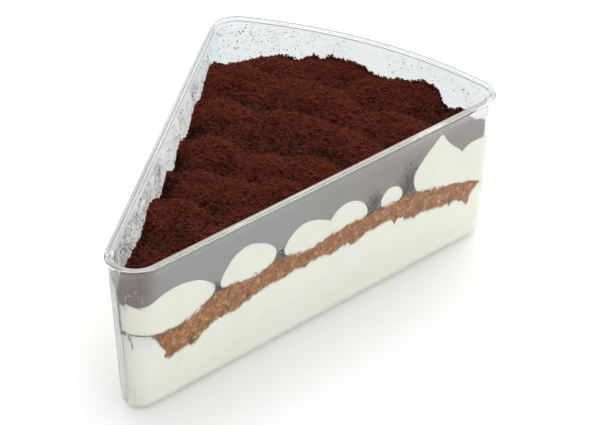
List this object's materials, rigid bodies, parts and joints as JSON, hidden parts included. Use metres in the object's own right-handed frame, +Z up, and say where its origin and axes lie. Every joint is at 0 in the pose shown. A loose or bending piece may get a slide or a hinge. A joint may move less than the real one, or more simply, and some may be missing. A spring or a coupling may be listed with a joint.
{
  "type": "tiramisu slice in a clear wedge tub",
  "caption": "Wedge slice of tiramisu in a clear plastic tub: cream base, soaked sponge, piped ropes of cream and a thick coat of cocoa.",
  "frame": {"origin": "centre of the tub's bounding box, on the surface it stands on", "axes": "+X from the slice's point to its curved back, +Y across to the slice's left side, +Z up"},
  "size_m": [0.1102, 0.0734, 0.037],
  "materials": {
    "clear_plastic": "clear thin-wall plastic, polished",
    "base_cream": "smooth set cream, slightly moist",
    "piped_cream": "whipped cream, soft sheen",
    "soaked_sponge": "open crumb, coffee-soaked",
    "cocoa_powder": "dry powder, fully matt"
  },
  "bodies": {
    "root": {"tub": "clear_plastic", "cream_base": "base_cream", "sponge": "soaked_sponge", "cream_rope_1": "piped_cream", "cream_rope_2": "piped_cream", "cream_rope_3": "piped_cream", "cream_rope_4": "piped_cream", "cream_rope_5": "piped_cream", "cream_rope_6": "piped_cream", "cream_rope_7": "piped_cream", "cocoa": "cocoa_powder"}
  },
  "joints": []
}
